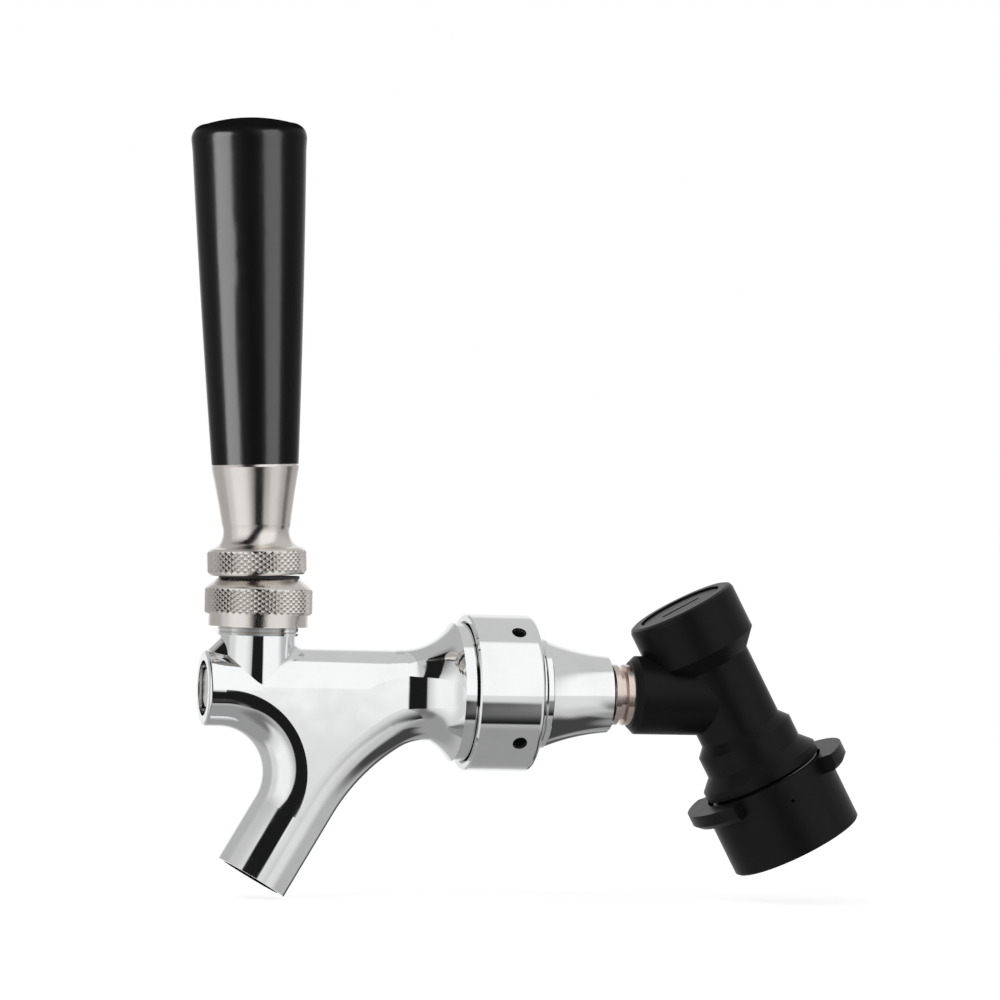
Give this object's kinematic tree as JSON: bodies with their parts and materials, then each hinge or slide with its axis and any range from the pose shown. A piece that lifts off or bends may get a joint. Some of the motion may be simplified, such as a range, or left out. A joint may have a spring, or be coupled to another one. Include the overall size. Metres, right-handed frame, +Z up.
{
  "type": "keg faucet on a ball-lock disconnect",
  "caption": "Chrome beer faucet with a tall black handle, joined by a coupling nut and a trumpet adapter to a black ball-lock keg disconnect.",
  "frame": {"origin": "on the keg post socket's axis, at the lower edge of the wall that fits the post, 8.8 mm up from the socket's mouth", "axes": "+X from the faucet's front towards the keg, +Z up along the faucet's neck and handle, +Y away from the side that shows the spout to the left"},
  "size_m": [0.1722, 0.0384, 0.1896],
  "materials": {
    "chrome": "mirror-polished chrome plate on brass",
    "nickel": "satin nickel plate, fine turning marks",
    "steel": "turned stainless steel",
    "brass": "turned brass",
    "black_grip": "gloss black moulded grip",
    "black_plastic": "black moulded acetal, low sheen",
    "collar_plastic": "black moulded acetal, low sheen",
    "black_rubber": "moulded nitrile rubber",
    "white_nylon": "natural nylon",
    "spring_steel": "drawn stainless spring wire"
  },
  "bodies": {
    "faucet_and_disconnect": {"faucet_body": "chrome", "bonnet_nut": "nickel", "dust_ring": "black_rubber", "friction_ring": "white_nylon", "ball_washer": "white_nylon", "coupling_gasket": "black_rubber", "adapter_body": "chrome", "flare_washer": "white_nylon", "flare_insert": "steel", "disconnect_body": "black_plastic", "cap_o_ring": "black_rubber", "pin_spring": "spring_steel", "collar_spring": "spring_steel", "collar_retaining_ring": "spring_steel"},
    "lever": {"lever": "steel", "ferrule_jam_nut": "nickel", "ferrule": "nickel", "grip_insert": "brass", "handle_grip": "black_grip"},
    "valve_shaft": {"valve_shaft": "steel", "shaft_o_rings": "black_rubber", "shaft_seat_washer": "black_rubber", "shaft_nut": "steel"},
    "coupling_nut": {"coupling_nut": "chrome"},
    "disconnect_cap": {"disconnect_cap": "black_plastic"},
    "depressor_pin": {"depressor_pin": "steel", "pin_seal": "black_rubber"},
    "release_collar": {"release_collar": "collar_plastic"},
    "locking_ball_1": {"locking_ball_1": "steel"},
    "locking_ball_2": {"locking_ball_2": "steel"},
    "locking_ball_3": {"locking_ball_3": "steel"},
    "locking_ball_4": {"locking_ball_4": "steel"}
  },
  "joints": [
    {"name": "lever_tilt", "type": "hinge", "parent": "faucet_and_disconnect", "child": "lever", "pos_m": [-0.1341, 0, 0.04485], "axis": [0, -1, 0], "range_deg": [0, 20]},
    {"name": "valve_shaft_slide", "type": "slide", "parent": "faucet_and_disconnect", "child": "valve_shaft", "axis": [1, 0, 0], "range_m": [0, 0.0055]},
    {"name": "coupling_nut_turn", "type": "hinge", "parent": "faucet_and_disconnect", "child": "coupling_nut", "pos_m": [-0.0741, 0, 0.02885], "axis": [1, 0, 0], "continuous": true},
    {"name": "disconnect_cap_turn", "type": "hinge", "parent": "faucet_and_disconnect", "child": "disconnect_cap", "pos_m": [-0.02768, 0, 0.0512], "axis": [-0.4756, 0, 0.8796], "continuous": true},
    {"name": "depressor_pin_push", "type": "slide", "parent": "faucet_and_disconnect", "child": "depressor_pin", "axis": [-0.4756, 0, 0.8796], "range_m": [0, 0.003], "stiffness_N_per_m": 500, "springref_m": -0.004, "deforming": ["pin_spring"]},
    {"name": "collar_lift", "type": "slide", "parent": "faucet_and_disconnect", "child": "release_collar", "axis": [-0.4756, 0, 0.8796], "range_m": [0, 0.0045], "stiffness_N_per_m": 800, "springref_m": -0.004, "deforming": ["collar_spring"]},
    {"name": "locking_ball_1_slide", "type": "slide", "parent": "faucet_and_disconnect", "child": "locking_ball_1", "axis": [0.622, 0.7071, 0.3363], "range_m": [0, 0.0012]},
    {"name": "locking_ball_2_slide", "type": "slide", "parent": "faucet_and_disconnect", "child": "locking_ball_2", "axis": [-0.622, 0.7071, -0.3363], "range_m": [0, 0.0012]},
    {"name": "locking_ball_3_slide", "type": "slide", "parent": "faucet_and_disconnect", "child": "locking_ball_3", "axis": [-0.622, -0.7071, -0.3363], "range_m": [0, 0.0012]},
    {"name": "locking_ball_4_slide", "type": "slide", "parent": "faucet_and_disconnect", "child": "locking_ball_4", "axis": [0.622, -0.7071, 0.3363], "range_m": [0, 0.0012]}
  ],
  "couplings": [
    {"joint": "valve_shaft_slide", "follows": "lever_tilt", "m_per_rad": 0.015542},
    {"joint": "locking_ball_1_slide", "follows": "collar_lift", "ratio": 0.26667},
    {"joint": "locking_ball_2_slide", "follows": "collar_lift", "ratio": 0.26667},
    {"joint": "locking_ball_3_slide", "follows": "collar_lift", "ratio": 0.26667},
    {"joint": "locking_ball_4_slide", "follows": "collar_lift", "ratio": 0.26667}
  ]
}
